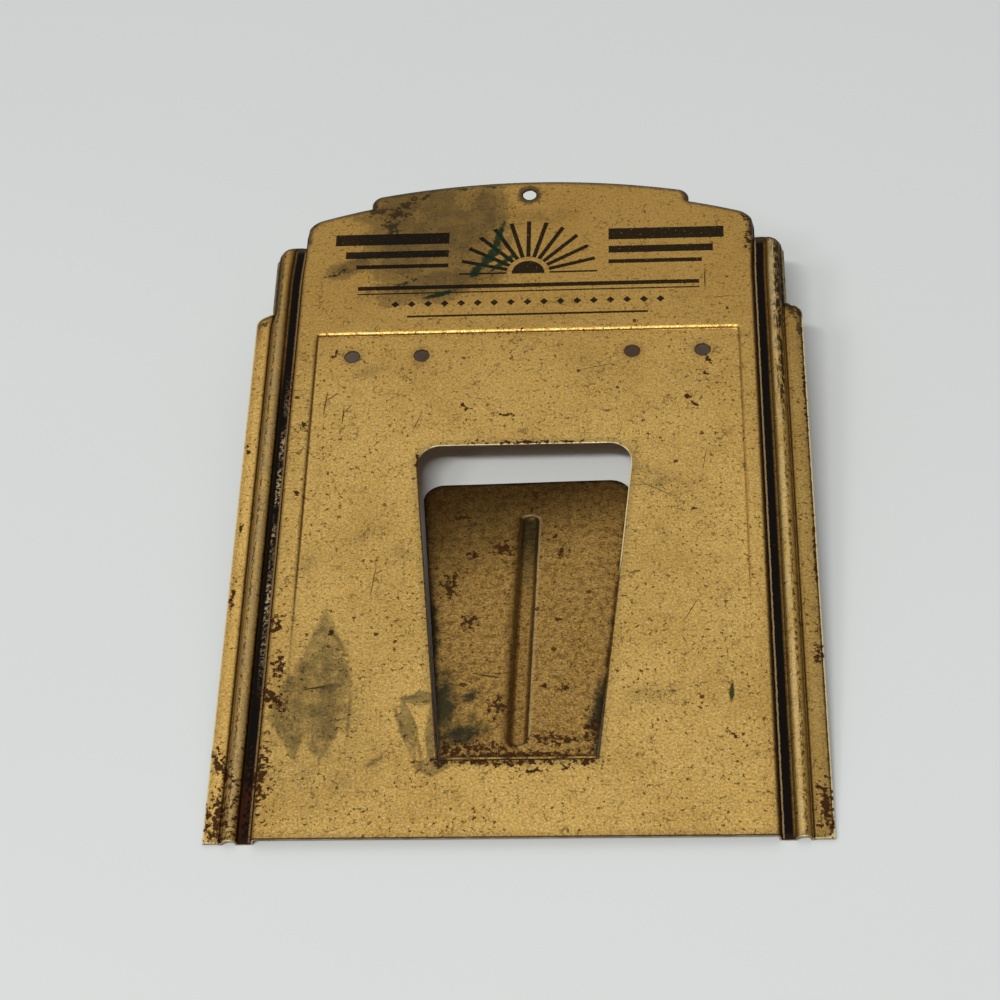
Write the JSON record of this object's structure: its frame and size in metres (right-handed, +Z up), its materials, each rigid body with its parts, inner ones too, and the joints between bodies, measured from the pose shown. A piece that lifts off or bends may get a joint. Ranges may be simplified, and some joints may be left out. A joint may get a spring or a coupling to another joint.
{
  "type": "easel back sign plate",
  "caption": "Stamped tinplate pad holder sign with a stepped top, fluted sides, pressed panel, punched holes and a bent-back easel strut on a fold.",
  "frame": {"origin": "centre of the bounding box on the table that the sign lies on, leaning back on its bottom edge and its strut", "axes": "+X across the sign to the right as read, +Y from the bottom edge towards the crown, +Z up from the table"},
  "size_m": [0.0952, 0.1325, 0.0178],
  "materials": {
    "gold_lacquer": "worn gold lacquer over tinplate, semi-gloss",
    "dulled_gold_lacquer": "darkened and stained gold lacquer over tinplate"
  },
  "bodies": {
    "plate": {"face_plate": "gold_lacquer"},
    "strut": {"easel_strut": "dulled_gold_lacquer"}
  },
  "joints": [
    {"name": "strut_fold", "type": "hinge", "parent": "plate", "child": "strut", "pos_m": [0, -0.05269, 0.00339], "axis": [-1, 0, 0], "range_deg": [-10, 75]}
  ]
}
